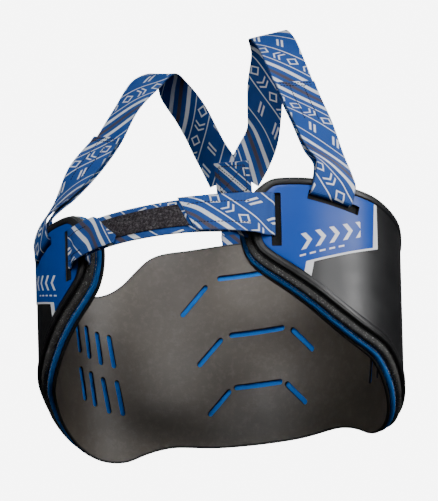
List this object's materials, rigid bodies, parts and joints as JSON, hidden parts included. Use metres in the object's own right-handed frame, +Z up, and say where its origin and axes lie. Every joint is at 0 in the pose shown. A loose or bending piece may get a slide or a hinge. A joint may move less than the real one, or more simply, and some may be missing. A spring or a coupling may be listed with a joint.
{
  "type": "rib protector",
  "caption": "Curved stiff shell with foam padding that wraps the ribs, open at the front, held by webbing over the shoulders and a front strap.",
  "frame": {"origin": "middle of the torso hollow, level with half the height of the back padding, where the wearer's chest sits", "axes": "+Z up along the wearer's body, -Y the open front with the front strap, +X the wearer's left"},
  "size_m": [0.3726, 0.2727, 0.4155],
  "materials": {
    "shell_plastic": "satin black moulded plastic with a raised rim",
    "foam_grey": "dark grey closed-cell foam",
    "foam_blue": "bright blue closed-cell foam",
    "liner_eva": "grey-brown satin foam sheet",
    "decal_print": "blue printed film",
    "webbing_print": "printed ribbed webbing",
    "loop_fabric": "dark fuzzy loop fabric"
  },
  "bodies": {
    "root": {"outer_shell": "shell_plastic", "foam_outer": "foam_grey", "foam_middle": "foam_blue", "liner_inner": "liner_eva", "decal_left": "decal_print", "decal_right": "decal_print", "shoulder_strap_left": "webbing_print", "shoulder_strap_right": "webbing_print", "back_strap": "webbing_print", "front_strap": "webbing_print", "loop_patch": "loop_fabric"}
  },
  "joints": []
}
